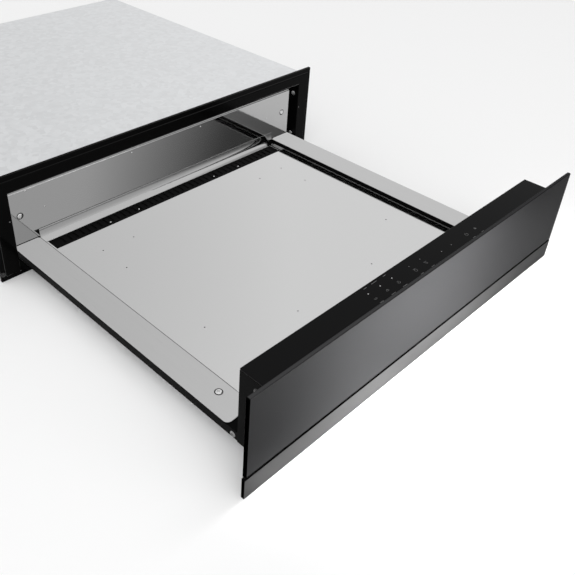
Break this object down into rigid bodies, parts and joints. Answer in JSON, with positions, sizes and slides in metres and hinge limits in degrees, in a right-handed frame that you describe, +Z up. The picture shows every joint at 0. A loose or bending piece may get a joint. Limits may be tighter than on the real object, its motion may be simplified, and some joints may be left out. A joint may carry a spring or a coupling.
{
  "type": "built-in warming drawer",
  "caption": "Low built-in warming drawer with a glass front, touch keys on its inner edge and a fan heater behind its rear wall, running on full-extension slides in a steel case",
  "frame": {"origin": "centre of the underside of the case, which stands on the niche floor", "axes": "+X to the right when facing the appliance, +Y back into the furniture, +Z up"},
  "size_m": [0.597, 0.995, 0.1484],
  "materials": {
    "zinc_steel": "galvanised sheet, light matt spangle",
    "stainless": "stainless sheet, fine grain",
    "mirror_steel": "polished stainless sheet",
    "front_glass": "opaque grey back-printed toughened glass",
    "touch_glass": "opaque black back-printed glass",
    "trim_metal": "satin anodised",
    "black_gloss": "glossy moulded",
    "black_satin": "satin moulded",
    "black_steel": "black powder coat",
    "screw_steel": "bright zinc",
    "grey_plastic": "moulded",
    "white_plastic": "moulded",
    "circuit": "solder mask",
    "wool": "mineral wool felt",
    "heater_mat": "silicone heating mat",
    "rubber": "moulded"
  },
  "bodies": {
    "housing": {"case_base": "zinc_steel", "case_top": "zinc_steel", "left_case_side": "zinc_steel", "right_case_side": "zinc_steel", "case_rear": "zinc_steel", "front_frame": "black_gloss", "mains_inlet": "black_satin", "terminal_block": "white_plastic", "left_case_rail": "zinc_steel", "right_case_rail": "zinc_steel", "latch_body": "grey_plastic", "left_jamb_upper_screw": "screw_steel", "right_jamb_upper_screw": "screw_steel", "left_jamb_lower_screw": "screw_steel", "right_jamb_lower_screw": "screw_steel", "left_frame_screw": "black_gloss", "right_frame_screw": "black_gloss"},
    "drawer": {"front_glass": "front_glass", "lower_trim": "trim_metal", "front_carrier": "black_steel", "left_bumper": "rubber", "right_bumper": "rubber", "control_box": "black_satin", "touch_panel": "touch_glass", "control_board": "circuit", "left_box_screw": "screw_steel", "right_box_screw": "screw_steel", "left_side_member": "black_steel", "right_side_member": "black_steel", "left_side_screw": "screw_steel", "right_side_screw": "screw_steel", "left_side_strip": "stainless", "right_side_strip": "stainless", "left_strip_screw": "screw_steel", "right_strip_screw": "screw_steel", "floor_plate": "stainless", "air_slot_plate": "black_steel", "floor_heater": "heater_mat", "insulation_pad": "wool", "bottom_tray": "zinc_steel", "rear_wall": "mirror_steel", "wall_foot": "mirror_steel", "left_wall_screw": "screw_steel", "right_wall_screw": "screw_steel", "rear_cover": "zinc_steel", "air_duct": "black_steel", "air_heater": "trim_metal", "fan_housing": "black_satin", "fan_motor": "zinc_steel", "power_board": "circuit", "thermal_cutout": "white_plastic", "temperature_sensor": "stainless", "left_drawer_rail": "zinc_steel", "right_drawer_rail": "zinc_steel", "latch_striker": "white_plastic"},
    "left_middle": {"left_middle_rail": "zinc_steel"},
    "right_middle": {"right_middle_rail": "zinc_steel"},
    "impeller": {"fan_impeller": "black_satin"},
    "plunger": {"latch_plunger": "white_plastic"}
  },
  "joints": [
    {"name": "drawer_slide", "type": "slide", "parent": "housing", "child": "drawer", "axis": [0, 1, 0], "range_m": [0, 0.447]},
    {"name": "left_middle_slide", "type": "slide", "parent": "housing", "child": "left_middle", "axis": [0, 1, 0], "range_m": [0, 0.2235]},
    {"name": "right_middle_slide", "type": "slide", "parent": "housing", "child": "right_middle", "axis": [0, 1, 0], "range_m": [0, 0.2235]},
    {"name": "fan_spin", "type": "hinge", "parent": "drawer", "child": "impeller", "pos_m": [0, -0.236, 0.071], "axis": [0, 1, 0], "continuous": true},
    {"name": "latch_push", "type": "slide", "parent": "housing", "child": "plunger", "axis": [0, 1, 0], "range_m": [0, 0.0045], "stiffness_N_per_m": 400, "springref_m": -0.003}
  ],
  "couplings": [
    {"joint": "left_middle_slide", "follows": "drawer_slide", "ratio": 0.5},
    {"joint": "right_middle_slide", "follows": "drawer_slide", "ratio": 0.5}
  ]
}
